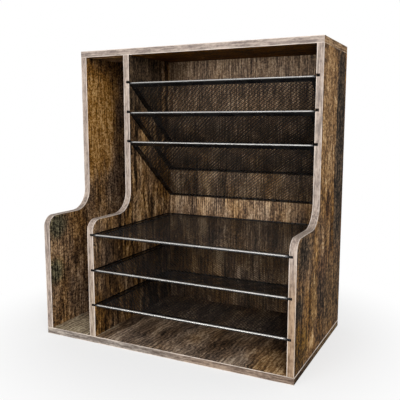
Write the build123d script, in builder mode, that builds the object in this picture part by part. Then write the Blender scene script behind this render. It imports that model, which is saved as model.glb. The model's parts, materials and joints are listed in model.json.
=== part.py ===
"""A desk file organizer, in millimetres.

Three stepped uprights stand between a base and a shallower top. The narrow bay on the left is an
upright file slot. The wide bay holds three flat mesh trays below and three sloping ones above, each
sliding in a pair of grooves. X runs to the right, Y to the back and Z up, from the middle of the
underside of the base.
"""

import os
from math import atan2, cos, floor, sin, sqrt

from build123d import *

os.makedirs("parts", exist_ok=True)

# Overall sizes
overall_width = 482
overall_depth = 286
overall_height = 533
upper_depth = 164  # of the top and of the uprights above the step
file_slot_width = 87  # clear, between the left upright and the divider

# Boards
upright_thickness = 12
base_thickness = 12
top_thickness = 12
back_thickness = 4
back_inset = 5  # from the rear edges of the uprights to the back boards
back_groove_depth = 4
back_clearance = 0.2
band_thickness = 1  # strips glued to the boards' visible edges

# The stepped front of the uprights
shoulder_rise = 27  # from the uppermost flat tray to the step
shoulder_radius = 21
neck_radius = 40

# Places of the trays
tray_rows = 3
lowest_shelf_level = 70
shelf_pitch = 64
pocket_pitch = 55.5
pocket_rear_rise = 40.4  # of the lowest sloping tray's rear end over the uppermost flat tray

# Grooves for the trays
groove_height = 4
groove_depth = 6
tray_seat_clearance = 0.2
tray_side_clearance = 0.5
tray_rear_gap = 0.5
tray_recess = 1  # of the rolled hem behind the uprights' front edges

# Trays: a folded rim, rolled along the front, that grips the edge of a mesh sheet
rim_thickness = 2.4
rim_corner_radius = 5
rim_front_border = 13
rim_side_border = 10  # what shows beside the mesh, past the upright's face
rim_rear_border = 6
hem_diameter = 4.4
hem_end_gap = 1.5
mesh_thickness = 0.8
mesh_grip = 3  # how far the sheet reaches into the rim
mesh_edge_gap = 0.3
diamond_pitch = 40
strand_width = 4

# Fasteners
screw_length = 40
screw_radius = 2
screw_head_radius = 4
screw_tip_length = 5
screw_tip_radius = 0.4
screw_inset = 40  # of the base's screws, from the front and rear edges
top_screw_inset = 26
screw_sides = 12  # few faces, because the screws repeat
dowel_radius = 3
dowel_sides = 8  # the flutes of a grooved dowel, drawn as flats
dowel_length = 26
dowel_in_board = 8
dowel_inset = 85
top_dowel_inset = 56
fit_clearance = 0.1
hole_end_gap = 0.5

overrun = 5  # by which a cut passes the face that it opens
quarter_turn = 90  # degrees

# Places worked out from the sizes
right_end = overall_width / 2
left_end = -right_end
rear = overall_depth / 2
front = -rear
upper_front = rear - upper_depth
underside = overall_height - top_thickness
slot_left = left_end + upright_thickness
slot_right = slot_left + file_slot_width
bay_left = slot_right + upright_thickness
bay_right = right_end - upright_thickness
bay_width = bay_right - bay_left
bay_middle = (bay_left + bay_right) / 2
back_face = rear - back_inset - back_thickness

shelf_levels = [lowest_shelf_level + row * shelf_pitch for row in range(tray_rows)]
shoulder_height = shelf_levels[-1] + shoulder_rise
lowest_pocket_level = (shelf_levels[-1] + underside) / 2
pocket_levels = [lowest_pocket_level + row * pocket_pitch for row in range(tray_rows)]
pocket_fall = lowest_pocket_level - shelf_levels[-1] - pocket_rear_rise
slope = atan2(pocket_fall, back_face - upper_front)  # radians, down towards the back

shelf_run = back_face - front
pocket_run = (back_face - upper_front) / cos(slope)
shelf_length = shelf_run - tray_rear_gap
pocket_length = pocket_run - (tray_rear_gap + rim_thickness / 2 * sin(slope)) / cos(slope)
groove_past_back = back_thickness / 2  # grooves run out inside the back boards' grooves


def shelf_plane(level):
    """The middle plane of a flat tray, from the uprights' front edge towards the back."""
    return Plane((bay_middle, front, level), x_dir=(1, 0, 0), z_dir=(0, 0, 1))


def pocket_plane(level):
    """The middle plane of a sloping tray, from the uprights' front edge down towards the back."""
    return Plane((bay_middle, upper_front, level), x_dir=(1, 0, 0), z_dir=(0, sin(slope), cos(slope)))


upright_middles = [
    left_end + upright_thickness / 2,
    bay_left - upright_thickness / 2,
    right_end - upright_thickness / 2,
]
base_screw_rows = (front + screw_inset, rear - screw_inset)
base_dowel_rows = (front + dowel_inset, rear - dowel_inset)
top_screw_rows = (upper_front + top_screw_inset, rear - top_screw_inset)
top_dowel_rows = (upper_front + top_dowel_inset, rear - top_dowel_inset)


def base_screw_places(middles):
    """Where the screws enter the base from below, with their heads' faces outwards."""
    return [
        Plane((x, y, 0), x_dir=(1, 0, 0), z_dir=(0, 0, -1)) for x in middles for y in base_screw_rows
    ]


def top_screw_places(middles):
    """Where the screws enter the top from above."""
    return [(x, y, overall_height) for x in middles for y in top_screw_rows]


def base_dowel_places(middles):
    """The dowels' upper ends, in the feet of the uprights."""
    height = base_thickness - dowel_in_board + dowel_length
    return [(x, y, height) for x in middles for y in base_dowel_rows]


def top_dowel_places(middles):
    """The dowels' upper ends, in the top board."""
    return [(x, y, underside + dowel_in_board) for x in middles for y in top_dowel_rows]


def flat_sided(radius, sides, top, bottom):
    """A prism along Z between two heights, in the part that is being built."""
    with BuildSketch(Plane.XY.offset(bottom)) as outline:
        RegularPolygon(radius, sides)
    extrude(outline.sketch, amount=top - bottom)


def make_screw(room, end_gap):
    """A countersunk screw with its head's face at the origin, or with room the bore for it."""
    head_radius = screw_head_radius + room
    shank_radius = screw_radius + room
    neck = screw_radius - screw_head_radius
    with BuildPart() as screw:
        with BuildSketch() as head:
            RegularPolygon(head_radius, screw_sides)
        with BuildSketch(Plane.XY.offset(neck)) as head_end:
            RegularPolygon(shank_radius, screw_sides)
        loft([head.sketch, head_end.sketch], ruled=True)
        flat_sided(shank_radius, screw_sides, neck, screw_tip_length - screw_length)
        with BuildSketch(Plane.XY.offset(screw_tip_length - screw_length)) as tip:
            RegularPolygon(shank_radius, screw_sides)
        with BuildSketch(Plane.XY.offset(-screw_length - end_gap)) as tip_end:
            RegularPolygon(screw_tip_radius + room, screw_sides)
        loft([tip.sketch, tip_end.sketch], ruled=True)
    return screw.part


def make_dowel(room, end_gap):
    """A grooved dowel with its upper end at the origin, or with room the bore for it."""
    with BuildPart() as dowel:
        flat_sided(dowel_radius + room, dowel_sides, end_gap, -dowel_length - end_gap)
    return dowel.part


screw = make_screw(0, 0)
screw_bore = make_screw(fit_clearance, hole_end_gap)
dowel = make_dowel(0, 0)
dowel_bore = make_dowel(fit_clearance, hole_end_gap)


def drill_base_joints(middles):
    """Cuts the bores of the screws and dowels that hold the uprights on the base."""
    with Locations(*base_screw_places(middles)):
        add(screw_bore, mode=Mode.SUBTRACT)
    with Locations(*base_dowel_places(middles)):
        add(dowel_bore, mode=Mode.SUBTRACT)


def drill_top_joints(middles):
    """Cuts the bores of the screws and dowels that hold the top on the uprights."""
    with Locations(*top_screw_places(middles)):
        add(screw_bore, mode=Mode.SUBTRACT)
    with Locations(*top_dowel_places(middles)):
        add(dowel_bore, mode=Mode.SUBTRACT)


def save(piece, name):
    piece.part.label = name
    export_step(piece.part, f"parts/{name}.step")


def slab(x_from, x_to, y_from, y_to, bottom, height, mode=Mode.ADD):
    """A block with level faces, in the part that is being built."""
    with BuildSketch(Plane.XY.offset(bottom)) as outline:
        with Locations(((x_from + x_to) / 2, (y_from + y_to) / 2)):
            Rectangle(x_to - x_from, y_to - y_from)
    extrude(outline.sketch, amount=height, mode=mode)


def back_slab(bay_from, bay_to, room=0, mode=Mode.ADD):
    """A back board that reaches into the boards around its bay, or with room the groove for it."""
    reach = back_groove_depth - back_clearance + room
    slab(
        bay_from - reach,
        bay_to + reach,
        back_face - room,
        back_face + back_thickness + room,
        base_thickness - reach,
        underside - base_thickness + 2 * reach,
        mode,
    )


def cut_back_grooves():
    for bay_from, bay_to in ((slot_left, slot_right), (bay_left, bay_right)):
        back_slab(bay_from, bay_to, back_clearance, Mode.SUBTRACT)


def cut_tray_grooves():
    """Cuts the grooves of all the trays, open at the front edge."""
    grooves = [(shelf_plane(level), shelf_run) for level in shelf_levels]
    grooves += [(pocket_plane(level), pocket_run) for level in pocket_levels]
    for plane, run in grooves:
        with BuildSketch(plane.offset(-rim_thickness / 2 - tray_seat_clearance)) as outline:
            with Locations((0, -overrun)):
                Rectangle(
                    bay_width + 2 * groove_depth,
                    overrun + run + groove_past_back,
                    align=(Align.CENTER, Align.MIN),
                )
        extrude(outline.sketch, amount=groove_height, mode=Mode.SUBTRACT)


def stepped_front(inset):
    """The front edge of an upright, from the base to the top, moved into the board by inset."""
    foot = Line(
        (front + inset, base_thickness),
        (front + inset, shoulder_height - shoulder_radius),
    )
    shoulder = JernArc(foot @ 1, foot % 1, shoulder_radius - inset, -quarter_turn)
    step = Line(shoulder @ 1, (upper_front - neck_radius, shoulder_height - inset))
    neck = JernArc(step @ 1, step % 1, neck_radius + inset, quarter_turn)
    post = Line(neck @ 1, (upper_front + inset, underside))
    return foot @ 0, post @ 1


def upright(left_face, grooved):
    """One stepped board, with its grooves and the bores for its screws and dowels."""
    middle = [left_face + upright_thickness / 2]
    with BuildPart() as board:
        with BuildSketch(Plane.YZ.offset(left_face)):
            with BuildLine():
                lowest, highest = stepped_front(band_thickness)
                Polyline(highest, (rear, underside), (rear, base_thickness), lowest)
            make_face()
        extrude(amount=upright_thickness)
        cut_back_grooves()
        if grooved:
            cut_tray_grooves()
        drill_base_joints(middle)
        drill_top_joints(middle)
    return board


def upright_band(left_face, grooved):
    """The strip that follows an upright's stepped front edge."""
    with BuildPart() as band:
        with BuildSketch(Plane.YZ.offset(left_face)):
            with BuildLine():
                outer_low, outer_high = stepped_front(0)
                inner_low, inner_high = stepped_front(band_thickness)
                Line(outer_low, inner_low)
                Line(outer_high, inner_high)
            make_face()
        extrude(amount=upright_thickness)
        if grooved:
            cut_tray_grooves()
    return band


def end_bands(y_from, bottom, height):
    """The strips on the two ends of a level board."""
    with BuildPart() as bands:
        slab(left_end, left_end + band_thickness, y_from + band_thickness, rear, bottom, height)
        slab(right_end - band_thickness, right_end, y_from + band_thickness, rear, bottom, height)
    return bands


def tray_rim(plane, length):
    """A tray's folded rim: a flat frame with a rolled front hem and a slot round its window."""
    hem_radius = hem_diameter / 2
    hem_place = tray_recess + hem_radius
    hem_length = bay_width - 2 * hem_end_gap
    rim_width = bay_width + 2 * (groove_depth - tray_side_clearance)
    window_width = bay_width - 2 * rim_side_border
    window_length = length - rim_front_border - rim_rear_border
    slot_reach = mesh_grip + mesh_edge_gap
    with BuildPart() as rim:
        with BuildSketch(plane.offset(-rim_thickness / 2)) as outline:
            with Locations((0, hem_place)):
                Rectangle(rim_width, length - hem_place, align=(Align.CENTER, Align.MIN))
            fillet(outline.vertices().group_by(Axis.Y)[0], rim_corner_radius)
            with Locations((0, rim_front_border + window_length / 2)):
                Rectangle(window_width, window_length, mode=Mode.SUBTRACT)
        extrude(amount=rim_thickness)
        hem_start = plane.from_local_coords((-hem_length / 2, hem_place, 0))
        with BuildSketch(Plane(hem_start, x_dir=plane.y_dir, z_dir=plane.x_dir)):
            Circle(hem_radius)
        extrude(amount=hem_length)
        with BuildSketch(plane.offset(-mesh_thickness / 2)):
            with Locations((0, rim_front_border + window_length / 2)):
                Rectangle(window_width + 2 * slot_reach, window_length + 2 * slot_reach)
        extrude(amount=mesh_thickness, mode=Mode.SUBTRACT)
    return rim


def tray_mesh(plane, length):
    """The sheet in a tray's rim, pierced with rows of square openings that stand on their corners."""
    window_width = bay_width - 2 * rim_side_border
    window_length = length - rim_front_border - rim_rear_border
    across = floor(window_width / diamond_pitch)
    along = floor(window_length / diamond_pitch)
    opening = diamond_pitch / sqrt(2) - strand_width
    with BuildPart() as mesh:
        with BuildSketch(plane.offset(-mesh_thickness / 2)):
            with Locations((0, rim_front_border + window_length / 2)):
                Rectangle(window_width + 2 * mesh_grip, window_length + 2 * mesh_grip)
                with GridLocations(diamond_pitch, diamond_pitch, across, along):
                    Rectangle(opening, opening, quarter_turn / 2, mode=Mode.SUBTRACT)
                with GridLocations(diamond_pitch, diamond_pitch, across - 1, along - 1):
                    Rectangle(opening, opening, quarter_turn / 2, mode=Mode.SUBTRACT)
        extrude(amount=mesh_thickness)
    return mesh


# Base and top, with countersunk holes over the uprights
with BuildPart() as base_board:
    slab(
        left_end + band_thickness,
        right_end - band_thickness,
        front + band_thickness,
        rear,
        0,
        base_thickness,
    )
    cut_back_grooves()
    drill_base_joints(upright_middles)
save(base_board, "base_board")

with BuildPart() as top_board:
    slab(
        left_end + band_thickness,
        right_end - band_thickness,
        upper_front + band_thickness,
        rear,
        underside,
        top_thickness,
    )
    cut_back_grooves()
    drill_top_joints(upright_middles)
save(top_board, "top_board")

# Uprights and their front bands
for name, left_face, grooved in (
    ("left_side", left_end, False),
    ("divider", slot_right, True),
    ("right_side", bay_right, True),
):
    save(upright(left_face, grooved), f"{name}_board")
    save(upright_band(left_face, grooved), f"{name}_edge_band")

# Bands on the level boards
with BuildPart() as base_edge_band:
    slab(left_end, right_end, front, front + band_thickness, 0, base_thickness)
save(base_edge_band, "base_edge_band")

with BuildPart() as top_edge_band:
    slab(left_end, right_end, upper_front, upper_front + band_thickness, underside, top_thickness)
save(top_edge_band, "top_edge_band")

save(end_bands(front, 0, base_thickness), "base_end_bands")
save(end_bands(upper_front, underside, top_thickness), "top_end_bands")

# Back boards
with BuildPart() as slot_back_board:
    back_slab(slot_left, slot_right)
save(slot_back_board, "slot_back_board")

with BuildPart() as main_back_board:
    back_slab(bay_left, bay_right)
save(main_back_board, "main_back_board")

# Trays, named by their rows from the bottom up
row_names = ("lower", "middle", "upper")
for row, shelf_level, pocket_level in zip(row_names, shelf_levels, pocket_levels):
    for name, plane, length in (
        (f"{row}_shelf", shelf_plane(shelf_level), shelf_length),
        (f"{row}_pocket", pocket_plane(pocket_level), pocket_length),
    ):
        save(tray_rim(plane, length), f"{name}_rim")
        save(tray_mesh(plane, length), f"{name}_mesh")

# Screws and dowels
with BuildPart() as base_screws:
    with Locations(*base_screw_places(upright_middles)):
        add(screw)
save(base_screws, "base_screws")

with BuildPart() as top_screws:
    with Locations(*top_screw_places(upright_middles)):
        add(screw)
save(top_screws, "top_screws")

with BuildPart() as base_dowels:
    with Locations(*base_dowel_places(upright_middles)):
        add(dowel)
save(base_dowels, "base_dowels")

with BuildPart() as top_dowels:
    with Locations(*top_dowel_places(upright_middles)):
        add(dowel)
save(top_dowels, "top_dowels")
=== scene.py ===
"""Desk file organizer: a stepped carcass in rustic printed laminate, with steel mesh trays in its grooves."""
import json
from math import atan2, cos, pi, radians, sin

import bmesh
import bpy
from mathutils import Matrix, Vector


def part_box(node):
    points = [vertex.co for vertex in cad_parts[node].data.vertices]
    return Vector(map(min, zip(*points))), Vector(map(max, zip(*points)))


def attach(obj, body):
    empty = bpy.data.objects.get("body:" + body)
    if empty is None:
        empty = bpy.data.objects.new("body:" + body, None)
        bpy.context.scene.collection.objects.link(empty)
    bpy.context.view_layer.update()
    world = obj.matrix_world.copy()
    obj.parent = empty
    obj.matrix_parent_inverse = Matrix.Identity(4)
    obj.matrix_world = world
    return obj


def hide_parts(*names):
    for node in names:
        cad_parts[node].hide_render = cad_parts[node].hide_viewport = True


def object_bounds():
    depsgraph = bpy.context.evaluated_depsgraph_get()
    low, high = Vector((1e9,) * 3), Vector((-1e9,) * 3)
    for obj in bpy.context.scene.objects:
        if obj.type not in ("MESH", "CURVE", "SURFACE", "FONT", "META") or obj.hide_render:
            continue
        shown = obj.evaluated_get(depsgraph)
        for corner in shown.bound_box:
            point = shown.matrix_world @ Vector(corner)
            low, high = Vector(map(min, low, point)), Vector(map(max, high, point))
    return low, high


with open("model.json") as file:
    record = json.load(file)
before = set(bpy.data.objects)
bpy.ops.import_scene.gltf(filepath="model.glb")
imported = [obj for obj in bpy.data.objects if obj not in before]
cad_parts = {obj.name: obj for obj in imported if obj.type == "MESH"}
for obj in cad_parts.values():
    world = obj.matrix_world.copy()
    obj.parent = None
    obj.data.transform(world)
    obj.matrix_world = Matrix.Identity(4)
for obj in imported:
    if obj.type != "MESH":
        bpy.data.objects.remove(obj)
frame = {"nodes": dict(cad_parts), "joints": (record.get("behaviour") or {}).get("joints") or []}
cad_low, cad_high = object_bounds()
scene = bpy.context.scene
scene.view_settings.view_transform = "Standard"
mm = 0.001

uprights = ("left_side", "divider", "right_side")
shelf_names = ["lower_shelf", "middle_shelf", "upper_shelf"]
pocket_names = ["lower_pocket", "middle_pocket", "upper_pocket"]
tray_names = shelf_names + pocket_names


def colour(code):
    """An sRGB hex value as linear red, green, blue and alpha."""
    parts = [int(code[i:i + 2], 16) / 255 for i in (1, 3, 5)]
    return [p / 12.92 if p <= 0.04045 else ((p + 0.055) / 1.055) ** 2.4 for p in parts] + [1.0]


def add(tree, kind, inputs=None, stops=None, **settings):
    """Adds one node to a tree, with its settings, its input values and links, and a ramp's stops."""
    node = tree.nodes.new(kind)
    for name, value in settings.items():
        setattr(node, name, value)
    for key, value in (inputs or {}).items():
        if isinstance(value, bpy.types.Node):
            value = value.outputs[0]
        if isinstance(value, bpy.types.NodeSocket):
            tree.links.new(value, node.inputs[key])
        else:
            node.inputs[key].default_value = value
    for index, (place, shade) in enumerate(stops or []):
        if index > 1:
            node.color_ramp.elements.new(place)
        node.color_ramp.elements[index].position = place
        node.color_ramp.elements[index].color = colour(shade)
    return node


def new_material(name):
    """An empty node material and its tree."""
    material = bpy.data.materials.new(name)
    material.use_nodes = True
    material.node_tree.nodes.clear()
    return material, material.node_tree


def surface(tree, height, depth, **sockets):
    """The shader of one finish with a bump of the given depth in metres, joined to the material's output."""
    bump = add(tree, "ShaderNodeBump", {"Height": height, "Distance": depth, "Strength": 1.0})
    inputs = {key.replace("_", " "): value for key, value in sockets.items()}
    inputs["Normal"] = bump
    shader = add(tree, "ShaderNodeBsdfPrincipled", inputs)
    add(tree, "ShaderNodeOutputMaterial", {"Surface": shader})


def figure(tree, spot, across, along, detail=2.0, rough=0.55):
    """Noise drawn out along Z, its grains about so many millimetres across and along."""
    stretched = add(tree, "ShaderNodeMapping", {
        "Vector": spot,
        "Scale": (1 / (across * mm), 1 / (across * mm), 1 / (along * mm)),
    })
    return add(tree, "ShaderNodeTexNoise", {
        "Vector": stretched, "Scale": 1.0, "Detail": detail, "Roughness": rough,
    }).outputs["Fac"]


# The turns that bring a board's grain onto Z, and the ways that it runs
grain_turns = {"X": (0, -pi / 2, 0), "Y": (pi / 2, 0, 0), "Z": (0, 0, 0)}
grain_ways = {"X": (1, 0, 0), "Y": (0, 1, 0), "Z": (0, 0, 1)}


def rustic_laminate(name, grain, place, mean, patches=(), streaks=0.3, streak_width=26, flecks=0.24,
                    fleck_size=(3.6, 5), lines=0.15, waves=0.0, warmth=0.92, sheen=0.15, coarse=1.0):
    """Melamine facing with a printed rustic wood: charred and golden streaks with flecks and fine dark
    checks, satin under a clear resin film. Tones run from charred 0 to pale 1, and sizes are in mm. The
    grain is an axis, and the place moves the pattern, so that no two boards are alike. Each patch, mostly
    print and some of it painted light and shade, is a square plank or a round knot: centre, reach, tone,
    hold and, where its hue differs, a cast of hue and saturation. Coarse widens the fibre lines and checks
    of a board that is seen at a slant."""
    material, tree = new_material(name)
    spot = add(tree, "ShaderNodeTexCoord").outputs["Object"]
    moved = add(tree, "ShaderNodeVectorMath", {0: spot, 1: place}, operation="ADD")
    # The print sways by up to 15 mm either way, in waves about 32 mm long
    sway_length = 32 * mm
    sway_reach = 30 * mm
    drift = add(tree, "ShaderNodeTexNoise", {
        "Vector": moved, "Scale": 1 / sway_length, "Detail": 4.0, "Roughness": 0.65,
    }).outputs["Color"]
    sway = add(tree, "ShaderNodeVectorMath", {0: drift, 1: (0.5, 0.5, 0.5)}, operation="SUBTRACT")
    wavy = add(tree, "ShaderNodeVectorMath", {
        0: sway, 1: (sway_reach, sway_reach, sway_reach), 2: spot,
    }, operation="MULTIPLY_ADD")
    grained = add(tree, "ShaderNodeMapping", {
        "Vector": wavy, "Location": place, "Rotation": grain_turns[grain],
    })
    straight = add(tree, "ShaderNodeMapping", {"Vector": moved, "Rotation": grain_turns[grain]})
    # Planks end in fingers along the grain, 5 mm wide and up to 50 mm long
    finger_reach = 25 * mm
    finger = figure(tree, straight, 5, 120, 3.0, 0.6)
    pull = add(tree, "ShaderNodeMapRange", {
        "Value": finger, "From Min": 0.3, "From Max": 0.7, "To Min": -finger_reach, "To Max": finger_reach,
    }, clamp=False)
    torn = add(tree, "ShaderNodeVectorMath", {
        0: pull, 1: grain_ways[grain], 2: wavy,
    }, operation="MULTIPLY_ADD")
    # Greyer and warmer stretches, about 60 mm across
    warmth_spread = 0.14
    cast = figure(tree, grained, 60, 120, 2.0)
    hue = 0.5
    saturation = add(tree, "ShaderNodeMapRange", {
        "Value": cast, "From Min": 0.35, "From Max": 0.65,
        "To Min": warmth - warmth_spread, "To Max": warmth + warmth_spread,
    }).outputs[0]
    # Broad streaks, 150 mm long
    streak = figure(tree, grained, streak_width, 150, 4.0, 0.6)
    tone = add(tree, "ShaderNodeMapRange", {
        "Value": streak, "From Min": 0.3, "From Max": 0.7, "To Min": mean - streaks, "To Max": mean + streaks,
    }, clamp=False).outputs[0]
    # Patches, each full inside a share of its reach and gone a little beyond it
    gone_from = 1.3
    for kind, centre, reach, shade, hold, *casts in patches:
        near = add(tree, "ShaderNodeVectorMath", {
            0: torn if kind == "plank" else wavy,
            1: [1 / (r * mm) for r in reach],
            2: [-c / r for c, r in zip(centre, reach)],
        }, operation="MULTIPLY_ADD")
        full_to = 0.25
        if kind == "plank":
            near = add(tree, "ShaderNodeVectorMath", {0: near, 1: near}, operation="MULTIPLY")
            full_to = 0.6
        away = add(tree, "ShaderNodeVectorMath", {0: near}, operation="LENGTH").outputs["Value"]
        cover = add(tree, "ShaderNodeMapRange", {
            "Value": away, "From Min": gone_from, "From Max": full_to, "To Min": 0.0, "To Max": hold,
        }, interpolation_type="SMOOTHSTEP")
        tone = add(tree, "ShaderNodeMix", {0: cover, 2: tone, 3: shade}, data_type="FLOAT").outputs[0]
        for turn, strength in casts:
            hue = add(tree, "ShaderNodeMix", {0: cover, 2: hue, 3: turn}, data_type="FLOAT").outputs[0]
            saturation = add(tree, "ShaderNodeMix", {
                0: cover, 2: saturation, 3: strength,
            }, data_type="FLOAT").outputs[0]
    # Print flecks, clouds of 13 by 36 mm and fibre lines 2 mm wide or wider, drawn coarse enough to show
    speckle = figure(tree, straight, *fleck_size, 4.0, 0.7)
    fleck = add(tree, "ShaderNodeMapRange", {
        "Value": speckle, "From Min": 0.38, "From Max": 0.62, "To Min": -flecks, "To Max": flecks,
    }, interpolation_type="SMOOTHSTEP")
    clouds = 0.16
    cloud = figure(tree, grained, 13, 36, 3.0, 0.6)
    smudge = add(tree, "ShaderNodeMapRange", {
        "Value": cloud, "From Min": 0.3, "From Max": 0.7, "To Min": -clouds, "To Max": clouds,
    })
    fibre = figure(tree, straight, 2.0 * coarse, 70, 4.0, 0.7)
    line = add(tree, "ShaderNodeMapRange", {
        "Value": fibre, "From Min": 0.38, "From Max": 0.62, "To Min": -lines, "To Max": lines,
    }, interpolation_type="SMOOTHSTEP")
    # Dark checks along the grain, 3 mm wide or wider
    check = figure(tree, grained, 3.0 * coarse, 46, 3.0, 0.65)
    crack = add(tree, "ShaderNodeMapRange", {
        "Value": check, "From Min": 0.37, "From Max": 0.31, "To Min": 0.0, "To Max": -0.35,
    })
    parts = [fleck, smudge, line, crack]
    if waves:
        # Wavy growth lines along the grain, 8 mm apart; the node's own lines lie a tenth of pi apart
        ring_spacing = 8 * mm
        drawn_out = add(tree, "ShaderNodeMapping", {"Vector": grained, "Scale": (1, 1, 0.2)})
        ring = add(tree, "ShaderNodeTexWave", {
            "Vector": drawn_out, "Scale": pi / 10 / ring_spacing,
            "Distortion": 3.0, "Detail": 2.0, "Detail Scale": 0.5,
        }, bands_direction="X").outputs["Fac"]
        parts.append(add(tree, "ShaderNodeMapRange", {"Value": ring, "To Min": -waves, "To Max": waves}))
    level = tone
    for part in parts:
        level = add(tree, "ShaderNodeMath", {0: level, 1: part}, operation="ADD")
    shade = add(tree, "ShaderNodeValToRGB", {"Fac": level}, stops=[
        (0.0, "#17100a"), (0.17, "#33261a"), (0.34, "#523a24"), (0.5, "#70502f"),
        (0.66, "#8e683d"), (0.82, "#ad8450"), (1.0, "#d6b384"),
    ])
    tinted = add(tree, "ShaderNodeHueSaturation", {"Hue": hue, "Saturation": saturation, "Color": shade})
    gloss = add(tree, "ShaderNodeMapRange", {
        "Value": fibre, "From Min": 0.3, "From Max": 0.7, "To Min": 0.4, "To Max": 0.56,
    })
    surface(tree, fibre, 0.12 * mm, Base_Color=tinted, Roughness=gloss, Specular_IOR_Level=0.0,
            Coat_Weight=sheen, Coat_Roughness=0.38, Coat_IOR=1.5)
    return material


def edge_band(name, along, place, shades, margin, second=None, sheen=0.2, highlight_strengths=(1.0, 1.0),
              highlight_from=4.6):
    """Printed PVC edge band, glued on and scraped flush: mottled fibre lines that run its length, satin,
    with a painted highlight, a pale line along each arris. The margin is the axis across the band and the
    middle of the band on it. Two strengths give the painted highlight on its lower and upper arris, and the
    pale line starts so many mm from the middle. Second shades are an axis, the stretch in mm over which
    the band turns to them, and the shades."""
    material, tree = new_material(name)
    spot = add(tree, "ShaderNodeTexCoord").outputs["Object"]
    moved = add(tree, "ShaderNodeVectorMath", {0: spot, 1: place}, operation="ADD")
    grained = add(tree, "ShaderNodeMapping", {"Vector": moved, "Rotation": grain_turns[along]})
    where = add(tree, "ShaderNodeSeparateXYZ", {0: spot}).outputs
    # Fibre lines 2.4 mm wide, clouds 9 mm wide and mottling 3.4 mm wide, drawn coarse enough to show
    fibre = figure(tree, grained, 2.4, 34, 3.0, 0.6)
    cloud = figure(tree, grained, 9, 38, 3.0, 0.6)
    mottle = figure(tree, grained, 3.4, 7, 3.0, 0.65)
    level = add(tree, "ShaderNodeMath", {0: fibre, 1: 0.44}, operation="MULTIPLY")
    level = add(tree, "ShaderNodeMath", {0: cloud, 1: 0.26, 2: level}, operation="MULTIPLY_ADD")
    level = add(tree, "ShaderNodeMath", {0: mottle, 1: 0.3, 2: level}, operation="MULTIPLY_ADD")
    tones = (0.42, 0.5, 0.58)
    shade = add(tree, "ShaderNodeValToRGB", {"Fac": level}, stops=list(zip(tones, shades))).outputs[0]
    if second:
        axis, start, end, other_shades = second
        other = add(tree, "ShaderNodeValToRGB", {"Fac": level}, stops=list(zip(tones, other_shades)))
        beyond = add(tree, "ShaderNodeMapRange", {
            "Value": where[axis], "From Min": start * mm, "From Max": end * mm, "To Min": 0.0, "To Max": 1.0,
        }, interpolation_type="SMOOTHSTEP")
        shade = add(tree, "ShaderNodeMix", {0: beyond, 6: shade, 7: other}, data_type="RGBA").outputs[2]
    axis_across, middle = margin
    highlight_ramp = 0.7
    half_middle = 1 * mm
    across = add(tree, "ShaderNodeMath", {0: where[axis_across], 1: middle * mm}, operation="SUBTRACT")
    aside = add(tree, "ShaderNodeMath", {0: across}, operation="ABSOLUTE")
    # Painted highlight: a pale line along each arris, from so many mm off the band's middle
    arris_highlight = add(tree, "ShaderNodeMapRange", {
        "Value": aside, "From Min": highlight_from * mm, "From Max": (highlight_from + highlight_ramp) * mm,
        "To Min": 0.0, "To Max": 1.0,
    }, interpolation_type="SMOOTHSTEP")
    ragged = add(tree, "ShaderNodeMapRange", {
        "Value": cloud, "From Min": 0.35, "From Max": 0.55, "To Min": 0.35, "To Max": 0.9,
    })
    highlight_by_side = add(tree, "ShaderNodeMapRange", {
        "Value": across, "From Min": -half_middle, "From Max": half_middle,
        "To Min": highlight_strengths[0], "To Max": highlight_strengths[1],
    })
    arris_highlight = add(tree, "ShaderNodeMath", {0: arris_highlight, 1: ragged}, operation="MULTIPLY")
    arris_highlight = add(tree, "ShaderNodeMath", {0: arris_highlight, 1: highlight_by_side}, operation="MULTIPLY")
    # The pale colour of the painted highlight
    shade = add(tree, "ShaderNodeMix", {
        0: arris_highlight, 6: shade, 7: colour("#e3d5c8"),
    }, data_type="RGBA").outputs[2]
    gloss = add(tree, "ShaderNodeMapRange", {
        "Value": fibre, "From Min": 0.3, "From Max": 0.7, "To Min": 0.42, "To Max": 0.58,
    })
    surface(tree, mottle, 0.1 * mm, Base_Color=shade, Roughness=gloss, Specular_IOR_Level=0.0,
            Coat_Weight=sheen, Coat_Roughness=0.35, Coat_IOR=1.5)
    return material


def pressed_wood(name, grain, shades):
    """Bare pressed wood: pale and dark fibres or chips of the given size in mm, softly clouded, dull."""
    material, tree = new_material(name)
    spot = add(tree, "ShaderNodeTexCoord").outputs["Object"]
    flock = add(tree, "ShaderNodeTexNoise", {
        "Vector": spot, "Scale": 1 / (grain * mm), "Detail": 4.0, "Roughness": 0.7,
    }).outputs["Fac"]
    cloud = add(tree, "ShaderNodeTexNoise", {
        "Vector": spot, "Scale": 1 / (60 * mm), "Detail": 2.0,
    }).outputs["Fac"]
    level = add(tree, "ShaderNodeMath", {0: flock, 1: 0.7}, operation="MULTIPLY")
    level = add(tree, "ShaderNodeMath", {0: cloud, 1: 0.3, 2: level}, operation="MULTIPLY_ADD")
    tones = (0.36, 0.5, 0.64)
    shade = add(tree, "ShaderNodeValToRGB", {"Fac": level}, stops=list(zip(tones, shades)))
    gloss = add(tree, "ShaderNodeMapRange", {
        "Value": flock, "From Min": 0.3, "From Max": 0.7, "To Min": 0.7, "To Max": 0.86,
    })
    surface(tree, flock, 0.2 * mm, Base_Color=shade, Roughness=gloss, IOR=1.5)
    return material


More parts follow.
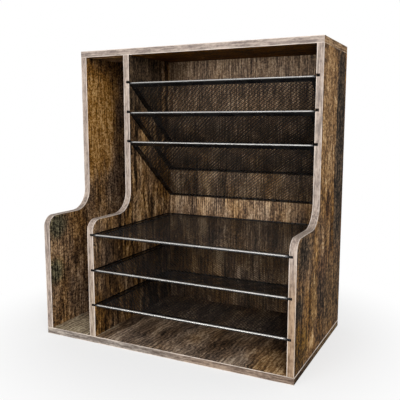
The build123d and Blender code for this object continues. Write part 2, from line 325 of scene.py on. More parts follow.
def black_coat(name, rough, peel, shine, hem=None):
    """Black coat, deep and even with soft clouds: polyester powder baked on steel, with a gloss and a faint
    orange peel, or a duller black painted into a groove as shade. A rim's rolled hem gets a painted
    highlight:
    a pale metallic line on the side that faces the given angle above level, which stops short of the hem's
    ends, where painted shade lies by the grooves. The hem is its middle and half length on X, and that angle."""
    material, tree = new_material(name)
    spot = add(tree, "ShaderNodeTexCoord").outputs
    dimple = add(tree, "ShaderNodeTexNoise", {
        "Vector": spot["Object"], "Scale": 1 / (2.2 * mm), "Detail": 1.0,
    }).outputs["Fac"]
    cloud = add(tree, "ShaderNodeTexNoise", {
        "Vector": spot["Object"], "Scale": 1 / (25 * mm), "Detail": 3.0,
    }).outputs["Fac"]
    shade = add(tree, "ShaderNodeValToRGB", {"Fac": cloud}, stops=[
        (0.35, "#0b0b0c"), (0.65, "#171718"),
    ]).outputs[0]
    gloss = add(tree, "ShaderNodeMapRange", {
        "Value": cloud, "From Min": 0.3, "From Max": 0.7, "To Min": rough - 0.05, "To Max": rough + 0.05,
    })
    painted_highlight = 0.0
    if hem:
        middle, half_length, highlight_angle = hem
        dark_end = 1 * mm
        bright_from = 7 * mm
        # Painted highlight: a pale metallic line on the rolled hem's side that faces the given angle above
        # level
        facing = add(tree, "ShaderNodeVectorMath", {
            0: spot["Normal"], 1: (0, -cos(highlight_angle), sin(highlight_angle)),
        }, operation="DOT_PRODUCT").outputs["Value"]
        upper = add(tree, "ShaderNodeMapRange", {
            "Value": facing, "From Min": 0.74, "From Max": 0.9, "To Min": 0.0, "To Max": 1.0,
        }, interpolation_type="SMOOTHSTEP")
        roll = add(tree, "ShaderNodeAttribute", attribute_name="hem").outputs["Fac"]
        where = add(tree, "ShaderNodeSeparateXYZ", {0: spot["Object"]}).outputs
        aside = add(tree, "ShaderNodeMath", {0: where["X"], 1: middle}, operation="SUBTRACT")
        aside = add(tree, "ShaderNodeMath", {0: aside}, operation="ABSOLUTE")
        # The painted highlight stops short of the hem's ends, left black there as painted shade by the
        # grooves
        inside = add(tree, "ShaderNodeMapRange", {
            "Value": aside, "From Min": half_length - dark_end, "From Max": half_length - bright_from,
        }, interpolation_type="SMOOTHSTEP")
        highlight_breakup = add(tree, "ShaderNodeTexNoise", {
            "Vector": spot["Object"], "Scale": 1 / (24 * mm), "Detail": 2.0,
        }).outputs["Fac"]
        patchy = add(tree, "ShaderNodeMapRange", {
            "Value": highlight_breakup, "From Min": 0.3, "From Max": 0.6, "To Min": 0.8, "To Max": 1.0,
        })
        painted_highlight = upper
        for part in (roll, inside, patchy):
            painted_highlight = add(tree, "ShaderNodeMath", {0: painted_highlight, 1: part}, operation="MULTIPLY")
        # The pale steel colour of the painted highlight
        shade = add(tree, "ShaderNodeMix", {
            0: painted_highlight, 6: shade, 7: colour("#c4c2be"),
        }, data_type="RGBA").outputs[2]
    surface(tree, dimple, peel, Base_Color=shade, Roughness=gloss, Metallic=painted_highlight, IOR=shine)
    return material


def zinc_steel(name):
    """Zinc-plated steel: bright grey metal with a soft cloudy film."""
    material, tree = new_material(name)
    spot = add(tree, "ShaderNodeTexCoord").outputs["Object"]
    cloud = add(tree, "ShaderNodeTexNoise", {
        "Vector": spot, "Scale": 1 / (2.5 * mm), "Detail": 3.0,
    }).outputs["Fac"]
    shade = add(tree, "ShaderNodeValToRGB", {"Fac": cloud}, stops=[(0.35, "#a9aba8"), (0.65, "#c9cac5")])
    gloss = add(tree, "ShaderNodeMapRange", {
        "Value": cloud, "From Min": 0.3, "From Max": 0.7, "To Min": 0.28, "To Max": 0.42,
    })
    surface(tree, cloud, 0.03 * mm, Base_Color=shade, Roughness=gloss, Metallic=1.0)
    return material


def beech(name):
    """Turned beech: pale pinkish brown with short darker rays along the dowel, dry."""
    material, tree = new_material(name)
    spot = add(tree, "ShaderNodeTexCoord").outputs["Object"]
    ray = figure(tree, spot, 0.7, 3.0, 2.0)
    shade = add(tree, "ShaderNodeValToRGB", {"Fac": ray}, stops=[
        (0.36, "#a97e52"), (0.52, "#cba272"), (0.66, "#dab98c"),
    ])
    gloss = add(tree, "ShaderNodeMapRange", {
        "Value": ray, "From Min": 0.3, "From Max": 0.7, "To Min": 0.6, "To Max": 0.75,
    })
    surface(tree, ray, 0.08 * mm, Base_Color=shade, Roughness=gloss, IOR=1.5)
    return material


# Each patch on a board, of print unless marked as painted light and shade: centre and reach in mm along X,
# Y and Z, tone from charred 0 to pale 1, how firmly it holds, and its hue and saturation where they differ
# from the board's
across_board = 9000
olive_cast = (0.56, 0.58)
golden_cast = (0.5, 0.92)
grey_cast = (0.51, 0.72)
red_cast = (0.49, 0.94)
right_patches = [
    ("plank", (235, 28, 405), (across_board, 48, 132), 0.68, 0.9, golden_cast),
    ("plank", (235, 28, 248), (across_board, 50, 38), 0.52, 0.8),
    ("knot", (235, 33, 253), (across_board, 14, 30), 0.16, 0.95, (0.49, 1.05)),
    ("plank", (235, 107, 340), (across_board, 31, 190), 0.16, 0.9, grey_cast),
    ("knot", (235, -104, 198), (across_board, 48, 34), 0.14, 0.9, grey_cast),
    ("plank", (235, -39, 196), (across_board, 22, 24), 0.62, 0.85),
    ("plank", (235, 57, 152), (across_board, 82, 22), 0.3, 0.6, red_cast),
    ("plank", (235, -128, 150), (across_board, 16, 22), 0.4, 0.8),
    ("knot", (235, -124, 111), (across_board, 24, 26), 0.1, 0.9, grey_cast),
    ("plank", (235, -89, 108), (across_board, 11, 56), 0.5, 0.8),
    ("plank", (235, -66, 108), (across_board, 11, 56), 0.36, 0.8),
    ("plank", (235, -39, 103), (across_board, 16, 42), 0.7, 0.85, (0.505, 0.95)),
    ("plank", (235, 0, 105), (across_board, 18, 50), 0.25, 0.85),
    ("plank", (235, 92, 90), (across_board, 72, 70), 0.41, 0.85, (0.505, 0.87)),
    ("plank", (235, -110, 50), (across_board, 36, 32), 0.36, 0.7, (0.512, 1.12)),
    ("knot", (235, -51, 36), (across_board, 19, 17), 1.0, 0.82, (0.5, 1.0)),
]
left_patches = [
    ("plank", (-235, 6, 400), (across_board, 62, 115), 0.76, 0.85, (0.498, 1.13)),
    ("plank", (-235, 110, 380), (across_board, 42, 170), 0.46, 0.8),
    # Painted shade: the top of the left side darker, under the top board
    ("plank", (-235, 20, 514), (across_board, 95, 34), 0.36, 0.75),
    ("plank", (-235, -120, 55), (across_board, 26, 40), 0.5, 0.7),
    ("plank", (-235, -126, 152), (across_board, 22, 24), 0.7, 0.85),
    ("knot", (-235, -122, 205), (across_board, 30, 26), 0.25, 0.95, olive_cast),
    ("knot", (-235, -127, 117), (across_board, 22, 24), 0.24, 0.95, olive_cast),
]
divider_patches = [
    # Painted shade: the top of the divider darker and greyer, inside the bay
    ("plank", (-136, 20, 470), (across_board, 80, 60), 0.22, 0.75, grey_cast),
    ("plank", (-136, -105, 200), (across_board, 36, 24), 0.5, 0.8),
    ("plank", (-136, -105, 100), (across_board, 36, 72), 0.34, 0.7),
]
top_patches = [
    # Painted shade: the underside of the top board darker and warmer
    ("plank", (50, 60, 521), (190, across_board, 5), 0.27, 0.85, (0.49, 1.25)),
]
back_patches = [
    # Painted light: the upper back board paler and greyer
    ("plank", (50, 134, 470), (across_board, across_board, 160), 0.62, 0.7, (0.5, 0.75)),
]
base_patches = [
    # Painted light and sheen: the base in the slot paler and greyer
    ("plank", (-185, -110, 6), (60, 60, across_board), 0.79, 0.85, (0.525, 0.56)),
    ("plank", (205, -100, 6), (34, 56, across_board), 0.8, 0.85, (0.5, 0.95)),
]

laminates = {
    "left_side_board": rustic_laminate(
        "rustic_laminate_left_side", "Z", (0.31, 1.7, 0.2), 0.48, left_patches,
        streaks=0.2, flecks=0.23, fleck_size=(4.6, 3.8), lines=0.23, warmth=0.89, coarse=1.5),
    "divider_board": rustic_laminate(
        "rustic_laminate_divider", "Z", (2.3, 0.7, 1.2), 0.41, divider_patches,
        streaks=0.6, streak_width=11, flecks=0.18, lines=0.22),
    "right_side_board": rustic_laminate(
        "rustic_laminate_right_side", "Z", (4.1, 2.9, 3.3), 0.43, right_patches,
        flecks=0.19, fleck_size=(8, 5), warmth=0.95, sheen=0.06, coarse=2.2),
    "top_board": rustic_laminate(
        "rustic_laminate_top", "X", (6.2, 5.1, 0.4), 0.42, top_patches, flecks=0.18, lines=0.2),
    "base_board": rustic_laminate(
        "rustic_laminate_base", "Y", (8.7, 1.3, 5.5), 0.54, base_patches,
        flecks=0.13, waves=0.14, warmth=0.75, sheen=0.3),
    "slot_back_board": rustic_laminate(
        "rustic_laminate_slot_back", "Z", (1.9, 9.3, 2.2), 0.38, flecks=0.2, lines=0.2),
    "main_back_board": rustic_laminate(
        "rustic_laminate_main_back", "Z", (3.7, 7.3, 6.1), 0.55, back_patches,
        streaks=0.36, flecks=0.17, lines=0.28, warmth=0.85),
}

# Shades of the printed bands, from the darkest fibre to the palest
taupe = ("#7b6f67", "#9f8f84", "#b9a99c")
brown_foot = ("#6e5845", "#907760", "#ae947a")
tawny_foot = ("#78685c", "#988778", "#b5a492")
grey_base = ("#645951", "#897f77", "#b1a69a")
brown_base = ("#5a4a3f", "#7c6a5d", "#9f8b79")
top_taupe = ("#7a6d67", "#9c8e84", "#b7a79b")
brown_band = ("#5d4733", "#957757", "#c3a480")
charred_band = ("#291e14", "#473522", "#756047")
dark_band = ("#37291a", "#604b31", "#967c5c")


def middle_of(node, axis):
    """The middle of a node's box on one axis, in mm."""
    low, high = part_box(node)
    return (low[axis] + high[axis]) / 2 / mm


# Each band has a painted highlight along its arrises, with its own strengths on the lower and upper arris
bands = {
    "left_side_edge_band": edge_band(
        "pvc_edge_band_left_side", "Z", (0.4, 1.1, 0.3), taupe, ("X", middle_of("left_side_board", 0))),
    "divider_edge_band": edge_band(
        "pvc_edge_band_divider", "Z", (0.4, 1.1, 0.3), taupe, ("X", middle_of("divider_board", 0)),
        ("Z", 200, 80, tawny_foot)),
    "right_side_edge_band": edge_band(
        "pvc_edge_band_right_side", "Z", (0.4, 1.1, 0.3), taupe, ("X", middle_of("right_side_board", 0)),
        ("Z", 205, 115, brown_foot), highlight_strengths=(1.0, 0.55)),
    "top_edge_band": edge_band(
        "pvc_edge_band_top", "X", (1.4, 0.2, 2.3), top_taupe, ("Z", middle_of("top_edge_band", 2))),
    "base_edge_band": edge_band(
        "pvc_edge_band_base", "X", (2.4, 3.2, 0.3), grey_base, ("Z", middle_of("base_edge_band", 2)),
        ("X", -60, 100, brown_base)),
    "top_end_bands": edge_band(
        "pvc_edge_band_top_ends", "Y", (5.4, 0.6, 1.3), brown_band, ("Z", middle_of("top_end_bands", 2)),
        sheen=0.06, highlight_strengths=(0.3, 0.3)),
    "base_end_bands": edge_band(
        "pvc_edge_band_base_ends", "Y", (3.4, 2.2, 1.3), charred_band, ("Z", middle_of("base_end_bands", 2)),
        ("Y", -60, 90, dark_band), sheen=0.06, highlight_strengths=(0.0, 1.6), highlight_from=3.7),
}
bare_back = pressed_wood("bare_fibreboard", 3, ("#6b4e34", "#85664a", "#a08061"))
bare_core = pressed_wood("bare_particle_board", 6, ("#5c4229", "#94744d", "#cdb083"))

# Each rim's hem between the uprights, and how far above level its side with the painted highlight faces
bay_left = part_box("divider_board")[1].x
bay_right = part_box("right_side_board")[0].x
hem_end_gap = 1.5 * mm
hem_middle = (bay_left + bay_right) / 2
hem_half = (bay_right - bay_left) / 2 - hem_end_gap
shelf_hem = (hem_middle, hem_half, radians(50))
pocket_hem = (hem_middle, hem_half, radians(40))
# Rim coats with a painted highlight along each hem
shelf_rim_black = black_coat("powder_coat_black_shelf_hem_painted_highlight", 0.26, 0.004 * mm, 1.5, shelf_hem)
pocket_rim_black = black_coat("powder_coat_black_pocket_hem_painted_highlight", 0.26, 0.004 * mm, 1.5, pocket_hem)
# Black painted into the grooves and into the notches of the bands as shade
groove_painted_shade = black_coat("groove_painted_shade_black", 0.6, 0.02 * mm, 1.4)
mesh_black = black_coat("powder_coat_mesh_black", 0.34, 0.01 * mm, 1.3)
zinc = zinc_steel("zinc_plated_steel")
dowel_beech = beech("turned_beech")


def piece(name, mesh, body, slot, *nodes):
    """Puts one finished mesh in the scene in place of its CAD nodes."""
    item = bpy.data.objects.new(name, mesh)
    scene.collection.objects.link(item)
    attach(item, body)
    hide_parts(*nodes)


def split_long_faces(form):
    """Splits every face of more than four sides into triangles."""
    bmesh.ops.triangulate(form, faces=[face for face in form.faces if len(face.verts) > 4])


def shade_smooth(mesh, sharp_from):
    """Shades a mesh smooth, apart from edges at which it turns by more than an angle."""
    mesh.polygons.foreach_set("use_smooth", [True] * len(mesh.polygons))
    mesh.set_sharp_from_angle(angle=sharp_from)


def eased_copy(node, arris, material):
    """A copy of a node's solid, merged and with its corners eased to a small radius, as a plain mesh."""
    merge_gap = 0.005 * mm
    flat_to = radians(1)
    corner_from = radians(40)
    smooth_to = radians(20)
    form = bmesh.new()
    form.from_mesh(frame["nodes"][node].data)
    bmesh.ops.remove_doubles(form, verts=form.verts, dist=merge_gap)
    bmesh.ops.dissolve_limit(form, angle_limit=flat_to, verts=form.verts, edges=form.edges)
    corners = []
    for edge in form.edges:
        if len(edge.link_faces) == 2 and edge.calc_face_angle() > corner_from:
            corners.append(edge)
    bmesh.ops.bevel(form, geom=corners, offset=arris, segments=2, profile=0.5, affect="EDGES",
                    clamp_overlap=True)
    split_long_faces(form)
    mesh = bpy.data.meshes.new(node)
    form.to_mesh(mesh)
    form.free()
    shade_smooth(mesh, smooth_to)
    mesh.materials.append(material)
    return mesh


# How far inside an upright's outline a groove's faces lie at least
skin = 0.5 * mm


def paint_groove_shade(mesh, node):
    """Paints black shade, a mesh's second material, on groove walls and floors inside an upright's outline.
    """
    low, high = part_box(node)
    middle = (low.x + high.x) / 2
    half_web = 1.5 * mm
    for face in mesh.polygons:
        depth = min(face.center.x - low.x, high.x - face.center.x)
        level_wall = abs(face.normal.x) < 0.1 and abs(face.normal.z) > 0.5
        beside_web = abs(face.center.x - middle) > half_web
        groove_floor = abs(face.normal.x) > 0.9
        if depth > skin and (groove_floor or level_wall and beside_web):
            face.material_index = 1


def paint_notch_shade(mesh, node):
    """Paints black shade, a mesh's second material, on the notch walls that grooves cut through a band."""
    low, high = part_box(node)
    groove_levels = [level * mm for level in (70, 134, 198, 359.5, 415, 470.5)]
    half_notch = 3 * mm
    for face in mesh.polygons:
        at_groove = min(abs(face.center.z - level) for level in groove_levels) < half_notch
        depth = min(face.center.x - low.x, high.x - face.center.x)
        if at_groove and depth > skin and abs(face.normal.y) < 0.5:
            face.material_index = 1


# Boards, their rear faces left bare
board_arris = 0.25 * mm
rear_depth = 0.5 * mm
for node, material in laminates.items():
    mesh = eased_copy(node, board_arris, material)
    if node.removesuffix("_board") in uprights:
        # The groove walls get black painted shade
        mesh.materials.append(groove_painted_shade)
        paint_groove_shade(mesh, node)
    mesh.materials.append(bare_back if node.endswith("back_board") else bare_core)
    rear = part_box(node)[1].y
    for face in mesh.polygons:
        if face.normal.y > 0.9 and face.center.y > rear - rear_depth:
            face.material_index = len(mesh.materials) - 1
    piece(node + "_laminated", mesh, "carcass", "laminate", node)

# Edge bands
band_arris = 0.3 * mm
for node, material in bands.items():
    mesh = eased_copy(node, band_arris, material)
    if node.removesuffix("_edge_band") in uprights:
        # The notch walls get black painted shade
        mesh.materials.append(groove_painted_shade)
        paint_notch_shade(mesh, node)
    piece(node + "_printed", mesh, "carcass", "edge_band", node)

# Tray rims, the front roll of each marked so that its painted highlight shows
axes = {joint["child"]: Vector(joint["axis"]) for joint in frame["joints"]}
rim_arris = 0.3 * mm
hem_diameter = 4.4 * mm
for name in tray_names:
    node = name + "_rim"
    mesh = eased_copy(node, rim_arris, shelf_rim_black if name in shelf_names else pocket_rim_black)
    reach = [vertex.co.dot(axes[name]) for vertex in mesh.vertices]
    hem_back = max(reach) - hem_diameter
    mark = mesh.attributes.new("hem", "FLOAT", "FACE")
    rolled = []
    for face in mesh.polygons:
        in_roll = min(reach[corner] for corner in face.vertices) > hem_back
        in_bay = abs(face.center.x - hem_middle) < hem_half
        rolled.append(float(in_roll and in_bay))
    mark.data.foreach_set("value", rolled)
    piece(node + "_coated", mesh, name, "powder_coat", node)


def new_tree(name, inputs):
    """An empty geometry tree with the named inputs and one output, and the identifier of each input."""
    tree = bpy.data.node_groups.new(name, "GeometryNodeTree")
    names = {}
    for label, kind in inputs:
        socket = tree.interface.new_socket(name=label, in_out="INPUT", socket_type="NodeSocket" + kind)
        names[label] = socket.identifier
    tree.interface.new_socket(name="Geometry", in_out="OUTPUT", socket_type="NodeSocketGeometry")
    return tree, names


def tray_mesh_tree():
    """Two layers of flat strands that cross at right angles, cut to a rectangle, tilted and put in place."""
    tree, names = new_tree("tray_mesh", (
        ("Width", "Float"), ("Length", "Float"), ("Spacing", "Float"), ("Strand Width", "Float"),
        ("Strand Thickness", "Float"), ("Layer Offset", "Float"), ("Tilt", "Float"), ("Place", "Vector"),
        ("Material", "Material"),
    ))
    diagonal = 2 ** 0.5
    given = add(tree, "NodeGroupInput").outputs
    half_wide = add(tree, "ShaderNodeMath", {0: given["Width"], 1: diagonal}, operation="DIVIDE")
    half_long = add(tree, "ShaderNodeMath", {0: given["Length"], 1: diagonal}, operation="DIVIDE")
    span = add(tree, "ShaderNodeMath", {0: half_wide, 1: half_long}, operation="ADD")
    rows = add(tree, "ShaderNodeMath", {0: span, 1: given["Spacing"]}, operation="DIVIDE")
    count = add(tree, "ShaderNodeMath", {0: rows}, operation="FLOOR")
    last = add(tree, "ShaderNodeMath", {0: count, 1: 1.0}, operation="SUBTRACT")
    middle = add(tree, "ShaderNodeMath", {0: last, 1: 0.5}, operation="MULTIPLY")
    index = add(tree, "GeometryNodeInputIndex")
    step = add(tree, "ShaderNodeMath", {0: index, 1: middle}, operation="SUBTRACT")
    side = add(tree, "ShaderNodeMath", {0: step, 1: given["Spacing"]}, operation="MULTIPLY")
    # Each strand runs from one edge of the half-width and half-length diamond to the other
    wide_end = add(tree, "ShaderNodeMath", {0: half_wide, 1: side}, operation="SUBTRACT")
    long_end = add(tree, "ShaderNodeMath", {0: half_long, 1: side}, operation="ADD")
    far_end = add(tree, "ShaderNodeMath", {0: wide_end, 1: long_end}, operation="MINIMUM")
    wide_start = add(tree, "ShaderNodeMath", {0: half_wide, 1: side}, operation="ADD")
    long_start = add(tree, "ShaderNodeMath", {0: half_long, 1: side}, operation="SUBTRACT")
    near_end = add(tree, "ShaderNodeMath", {0: wide_start, 1: long_start}, operation="MINIMUM")
    reach = add(tree, "ShaderNodeMath", {0: far_end, 1: near_end}, operation="ADD")
    shift = add(tree, "ShaderNodeMath", {0: far_end, 1: near_end}, operation="SUBTRACT")
    centre = add(tree, "ShaderNodeMath", {0: shift, 1: 0.5}, operation="MULTIPLY")
    along_x = add(tree, "ShaderNodeMath", {0: centre, 1: side}, operation="ADD")
    along_y = add(tree, "ShaderNodeMath", {0: centre, 1: side}, operation="SUBTRACT")
    place_x = add(tree, "ShaderNodeMath", {0: along_x, 1: diagonal}, operation="DIVIDE")
    stretch = add(tree, "ShaderNodeCombineXYZ", {0: reach, 1: 1.0, 2: 1.0})
    strand = add(tree, "GeometryNodeCurvePrimitiveLine", {"Start": (-0.5, 0, 0), "End": (0.5, 0, 0)})
    circle = add(tree, "GeometryNodeCurvePrimitiveCircle", {"Resolution": 6, "Radius": 0.5})
    section = add(tree, "ShaderNodeCombineXYZ", {
        0: given["Strand Width"], 1: given["Strand Thickness"], 2: 1.0,
    })
    profile = add(tree, "GeometryNodeTransform", {"Geometry": circle, "Scale": section})
    both = add(tree, "GeometryNodeJoinGeometry")
    for sign in (1, -1):
        place_y = add(tree, "ShaderNodeMath", {0: along_y, 1: sign / diagonal}, operation="MULTIPLY")
        height = add(tree, "ShaderNodeMath", {0: given["Layer Offset"], 1: sign}, operation="MULTIPLY")
        spots = add(tree, "ShaderNodeCombineXYZ", {0: place_x, 1: place_y, 2: height})
        points = add(tree, "GeometryNodePoints", {"Count": count, "Position": spots})
        laid = add(tree, "GeometryNodeInstanceOnPoints", {
            "Points": points, "Instance": strand, "Rotation": (0, 0, sign * pi / 4), "Scale": stretch,
        })
        lines = add(tree, "GeometryNodeRealizeInstances", {"Geometry": laid})
        level = add(tree, "GeometryNodeSetCurveNormal", {"Curve": lines}, mode="Z_UP")
        wires = add(tree, "GeometryNodeCurveToMesh", {
            "Curve": level, "Profile Curve": profile, "Fill Caps": True,
        })
        tree.links.new(wires.outputs[0], both.inputs[0])
    lean = add(tree, "ShaderNodeMath", {0: given["Tilt"], 1: -1.0}, operation="MULTIPLY")
    turn = add(tree, "ShaderNodeCombineXYZ", {0: lean})
    put = add(tree, "GeometryNodeTransform", {
        "Geometry": both, "Rotation": turn, "Translation": given["Place"],
    })
    whole = add(tree, "GeometryNodeRealizeInstances", {"Geometry": put})
    coated = add(tree, "GeometryNodeSetMaterial", {"Geometry": whole, "Material": given["Material"]})
    add(tree, "NodeGroupOutput", {"Geometry": coated})
    return tree, names


def grown(name, tree, names, values, start=None):
    """The plain mesh that a tree makes from the given values, and from a start mesh where it needs one."""
    maker = bpy.data.objects.new(name, start or bpy.data.meshes.new(name))
    scene.collection.objects.link(maker)
    modifier = maker.modifiers.new("maker", "NODES")
    modifier.node_group = tree
    for key, value in values.items():
        modifier[names[key]] = value
    bpy.context.view_layer.update()
    seen = maker.evaluated_get(bpy.context.evaluated_depsgraph_get())
    mesh = bpy.data.meshes.new_from_object(seen)
    maker.modifiers.remove(modifier)
    bpy.data.objects.remove(maker)
    return mesh


# Mesh sheets of flat strands, drawn every 5.4 mm so that they show, where the real ones lie about 4 mm apart
sheet_thickness = 0.8 * mm
strand_inset = 1.0 * mm
strand_spacing = 5.4 * mm
strand_width = 1.5 * mm
strand_thickness = 0.45 * mm
layer_offset = 0.1 * mm
mesh_tree, mesh_names = tray_mesh_tree()
for name in tray_names:
    node = name + "_mesh"
    low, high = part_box(node)
    tilt = atan2(axes[name][2], -axes[name][1])
    length = (high.y - low.y - sheet_thickness * sin(tilt)) / cos(tilt)
    mesh = grown(node, mesh_tree, mesh_names, {
        "Width": high.x - low.x - 2 * strand_inset,
        "Length": length - 2 * strand_inset,
        "Spacing": strand_spacing,
        "Strand Width": strand_width,
        "Strand Thickness": strand_thickness,
        "Layer Offset": layer_offset,
        "Tilt": tilt,
        "Place": (low + high) / 2,
        "Material": mesh_black,
    })
    piece(node + "_woven", mesh, name, "powder_coat", node)


def turned(rings, sides):
    """An open form turned about Z, and its loops, from rings of radius, height and flute depth."""
    form = bmesh.new()
    loops = []
    for radius, height, flute in rings:
        loop = []
        for i in range(sides):
            out = radius - flute * (i % 2)
            angle = 2 * pi * i / sides
            loop.append(form.verts.new((out * cos(angle), out * sin(angle), height)))
        loops.append(loop)
    for lower, upper in zip(loops, loops[1:]):
        for i in range(sides):
            j = (i + 1) % sides
            form.faces.new((lower[i], lower[j], upper[j], upper[i]))
    return form, loops


def screw_blank(length, head_radius, core, tip_length):
    """A countersunk screw without its thread: face at the origin with a cross recess, shank along minus Z."""
    head_depth = head_radius - core
    head_edge = 0.25 * mm
    tip_radius = 0.2 * mm
    form, loops = turned([
        (tip_radius, -length, 0),
        (core, tip_length - length, 0),
        (core, -head_depth, 0),
        (head_radius, -head_edge, 0),
        (head_radius, 0, 0),
    ], sides=24)
    form.faces.new(reversed(loops[0]))
    # The recess: four arms 1 mm wide that narrow as they go down
    arm = 2.3 * mm
    half_width = 0.5 * mm
    recess_depth = 1.7 * mm
    floor_share = 0.55
    rim = loops[-1]
    mouth = []
    floor = []
    for quarter in range(4):
        angle = quarter * pi / 2
        for x, y in ((arm, -half_width), (arm, half_width), (half_width, half_width)):
            spot = Vector((x * cos(angle) - y * sin(angle), x * sin(angle) + y * cos(angle), 0))
            mouth.append(form.verts.new(spot))
            floor.append(form.verts.new((spot.x * floor_share, spot.y * floor_share, -recess_depth)))
    for i in range(len(mouth)):
        j = (i + 1) % len(mouth)
        form.faces.new((floor[i], floor[j], mouth[j], mouth[i]))
    form.faces.new(floor)
    rim_edges = [form.edges.get(ends) for ends in zip(rim, rim[1:] + rim[:1])]
    mouth_edges = [form.edges.get(ends) for ends in zip(mouth, mouth[1:] + mouth[:1])]
    bmesh.ops.triangle_fill(form, use_beauty=True, edges=rim_edges + mouth_edges)
    split_long_faces(form)
    bmesh.ops.recalc_face_normals(form, faces=form.faces)
    return form


def dowel_blank(length, radius):
    """A fluted dowel with chamfered ends, its upper end at the origin."""
    chamfer = 1.0 * mm
    flute = 0.25 * mm
    form, loops = turned([
        (radius - chamfer, -length, 0),
        (radius, chamfer - length, flute),
        (radius, -chamfer, flute),
        (radius - chamfer, 0, 0),
    ], sides=32)
    form.faces.new(reversed(loops[0]))
    form.faces.new(loops[-1])
    split_long_faces(form)
    bmesh.ops.recalc_face_normals(form, faces=form.faces)
    return form


def fastener_tree():
    """Copies of one blank at given places, each with its own turn, and with a thread where it has one."""
    tree, names = new_tree("fasteners", (
        ("Places", "Geometry"), ("Blank", "Object"), ("Threaded", "Bool"), ("Thread Start", "Vector"),
        ("Thread Length", "Float"), ("Thread Radius", "Float"), ("Thread Size", "Float"),
        ("Thread Turns", "Float"), ("Upright", "Vector"), ("Seed", "Int"), ("Material", "Material"),
    ))
    given = add(tree, "NodeGroupInput").outputs
    blank = add(tree, "GeometryNodeObjectInfo", {"Object": given["Blank"]}).outputs["Geometry"]
    coil = add(tree, "GeometryNodeCurveSpiral", {
        "Resolution": 12, "Rotations": given["Thread Turns"], "Start Radius": given["Thread Radius"],
        "End Radius": given["Thread Radius"], "Height": given["Thread Length"],
    })
    level = add(tree, "GeometryNodeSetCurveNormal", {"Curve": coil}, mode="Z_UP")
    ridge = add(tree, "GeometryNodeCurvePrimitiveCircle", {"Resolution": 3, "Radius": given["Thread Size"]})
    wound = add(tree, "GeometryNodeCurveToMesh", {"Curve": level, "Profile Curve": ridge, "Fill Caps": True})
    thread = add(tree, "GeometryNodeTransform", {"Geometry": wound, "Translation": given["Thread Start"]})
    cut = add(tree, "GeometryNodeSwitch", {
        "Switch": given["Threaded"], "True": thread,
    }, input_type="GEOMETRY")
    whole = add(tree, "GeometryNodeJoinGeometry", {0: blank})
    tree.links.new(cut.outputs[0], whole.inputs[0])
    upright = add(tree, "GeometryNodeTransform", {"Geometry": whole, "Rotation": given["Upright"]})
    turn = add(tree, "FunctionNodeRandomValue", {
        0: (0, 0, 0), 1: (0, 0, 2 * pi), "Seed": given["Seed"],
    }, data_type="FLOAT_VECTOR")
    laid = add(tree, "GeometryNodeInstanceOnPoints", {
        "Points": given["Places"], "Instance": upright, "Rotation": turn,
    })
    real = add(tree, "GeometryNodeRealizeInstances", {"Geometry": laid})
    plated = add(tree, "GeometryNodeSetMaterial", {"Geometry": real, "Material": given["Material"]})
    add(tree, "NodeGroupOutput", {"Geometry": plated})
    return tree, names


def row_places(node, radius, height):
    """Points for a front and a rear fastener of the given radius in each upright, as a mesh."""
    low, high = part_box(node)
    points = [
        (middle_of(upright + "_board", 0) * mm, y, height)
        for upright in uprights
        for y in (low.y + radius, high.y - radius)
    ]
    mesh = bpy.data.meshes.new(node)
    mesh.from_pydata(points, [], [])
    return mesh


# Fasteners: 4 by 40 mm countersunk screws with a thread of 1.8 mm pitch, and 6 by 26 mm fluted dowels
fasteners, fastener_names = fastener_tree()
screw_length = 40 * mm
screw_head = 3.9 * mm
screw_core = 1.4 * mm
screw_tip = 5 * mm
thread_length = 29 * mm
thread_pitch = 1.8 * mm
thread_size = 0.45 * mm
dowel_length = 26 * mm
dowel_radius = 2.95 * mm
fastener_smooth_to = radians(35)
# The radii that heads and dowels have in the solids
solid_head = 4 * mm
solid_dowel = 3 * mm
blanks = {}
for kind, form in (
    ("screw", screw_blank(screw_length, screw_head, screw_core, screw_tip)),
    ("dowel", dowel_blank(dowel_length, dowel_radius)),
):
    mesh = bpy.data.meshes.new(kind)
    form.to_mesh(mesh)
    form.free()
    blanks[kind] = bpy.data.objects.new(kind, mesh)
    scene.collection.objects.link(blanks[kind])
heads_down = (pi, 0, 0)
heads_up = (0, 0, 0)
for node, kind, upright, seed in (
    ("base_screws", "screw", heads_down, 3), ("top_screws", "screw", heads_up, 5),
    ("base_dowels", "dowel", heads_up, 7), ("top_dowels", "dowel", heads_up, 9),
):
    low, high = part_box(node)
    is_screw = kind == "screw"
    height = low.z if upright == heads_down else high.z
    places = row_places(node, solid_head if is_screw else solid_dowel, height)
    mesh = grown(node, fasteners, fastener_names, {
        "Blank": blanks[kind],
        "Threaded": is_screw,
        "Thread Start": (0, 0, screw_tip - screw_length),
        "Thread Length": thread_length,
        "Thread Radius": screw_core + thread_size / 4,
        "Thread Size": thread_size,
        "Thread Turns": thread_length / thread_pitch,
        "Upright": upright,
        "Seed": seed,
        "Material": zinc if is_screw else dowel_beech,
    }, places)
    shade_smooth(mesh, fastener_smooth_to)
    finish = "threaded" if is_screw else "fluted"
    piece(f"{node}_{finish}", mesh, "carcass", "zinc_steel" if is_screw else "beech", node)
for blank in blanks.values():
    bpy.data.objects.remove(blank)


def seen_rays(tree):
    """One on rays from the camera, or by way of a reflection or clear material, and nought on all others."""
    rays = add(tree, "ShaderNodeLightPath").outputs
    seen = add(tree, "ShaderNodeMath", {
        0: rays["Is Camera Ray"], 1: rays["Is Glossy Ray"],
    }, operation="MAXIMUM")
    return add(tree, "ShaderNodeMath", {0: seen, 1: rays["Is Transmission Ray"]}, operation="MAXIMUM")


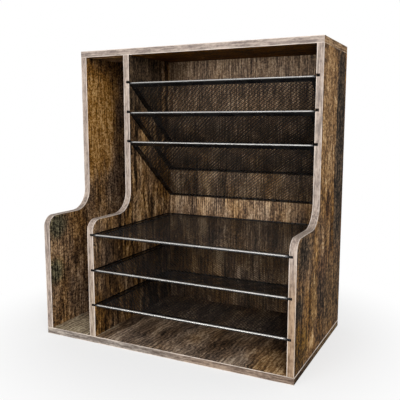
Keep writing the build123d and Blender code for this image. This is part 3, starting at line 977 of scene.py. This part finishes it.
# Floor: white to the eye, but less so near the object, where its own shade lets the shadow show
floor_half = 9.0
floor_height = -0.2 * mm
shadow_to = 0.2
white_from = 0.5
white_near = 0.6
floor_corners = []
for x, y in ((-1, -1), (1, -1), (1, 1), (-1, 1)):
    floor_corners.append((x * floor_half, y * floor_half, floor_height))
floor_mesh = bpy.data.meshes.new("floor")
floor_mesh.from_pydata(floor_corners, [], [(0, 1, 2, 3)])
floor = bpy.data.objects.new("floor", floor_mesh)
scene.collection.objects.link(floor)
floor_material, tree = new_material("studio_floor")
spot = add(tree, "ShaderNodeTexCoord").outputs["Object"]
away = add(tree, "ShaderNodeVectorMath", {0: spot}, operation="LENGTH").outputs["Value"]
fade = add(tree, "ShaderNodeMapRange", {
    "Value": away, "From Min": shadow_to, "From Max": white_from, "To Min": white_near, "To Max": 1.0,
}, interpolation_type="SMOOTHSTEP")
bright = add(tree, "ShaderNodeMath", {0: seen_rays(tree), 1: fade}, operation="MULTIPLY")
matte = add(tree, "ShaderNodeBsdfDiffuse", {"Color": colour("#f8f8f8")})
white = add(tree, "ShaderNodeEmission", {"Color": (1, 1, 1, 1), "Strength": 1.0})
blend = add(tree, "ShaderNodeMixShader", {0: bright, 1: matte, 2: white})
add(tree, "ShaderNodeOutputMaterial", {"Surface": blend})
floor_mesh.materials.append(floor_material)

# World: white to the eye and in reflections, a soft even light otherwise
even_light = 0.32
world = bpy.data.worlds.new("studio")
scene.world = world
world.use_nodes = True
tree = world.node_tree
tree.nodes.clear()
ambient = add(tree, "ShaderNodeBackground", {"Color": (1, 1, 1, 1), "Strength": even_light})
white = add(tree, "ShaderNodeBackground", {"Color": (1, 1, 1, 1), "Strength": 1.0})
blend = add(tree, "ShaderNodeMixShader", {0: seen_rays(tree), 1: ambient, 2: white})
add(tree, "ShaderNodeOutputWorld", {"Surface": blend})

# Lamps: where each stands, its power in watts, its width and height in metres
object_middle = (cad_low + cad_high) / 2
for name, place, power, width, height in (
    ("key", (1.4, -1.85, 1.2), 34, 1.0, 1.0),
    ("front", (-0.7, -2.1, 0.45), 17, 1.0, 0.6),
    ("overhead", (0.1, -0.9, 2.3), 5, 1.6, 0.6),
):
    lamp = bpy.data.lights.new(name, "AREA")
    lamp.shape = "RECTANGLE"
    lamp.energy = power
    lamp.size = width
    lamp.size_y = height
    holder = bpy.data.objects.new(name, lamp)
    scene.collection.objects.link(holder)
    holder.location = place
    holder.rotation_mode = "QUATERNION"
    holder.rotation_quaternion = (object_middle - holder.location).to_track_quat("-Z", "Y")

# Camera at the photographed view, fitted to the corners of the boards
looks_down = 7.921
looks_left = 26.689
lens = bpy.data.cameras.new("photo_view")
lens.lens = 50.527
lens.sensor_width = 36
camera = bpy.data.objects.new("photo_view", lens)
scene.collection.objects.link(camera)
camera.location = (0.47533, -0.92605, 0.3965)
camera.rotation_euler = (radians(90 - looks_down), 0, radians(looks_left))
scene.camera = camera
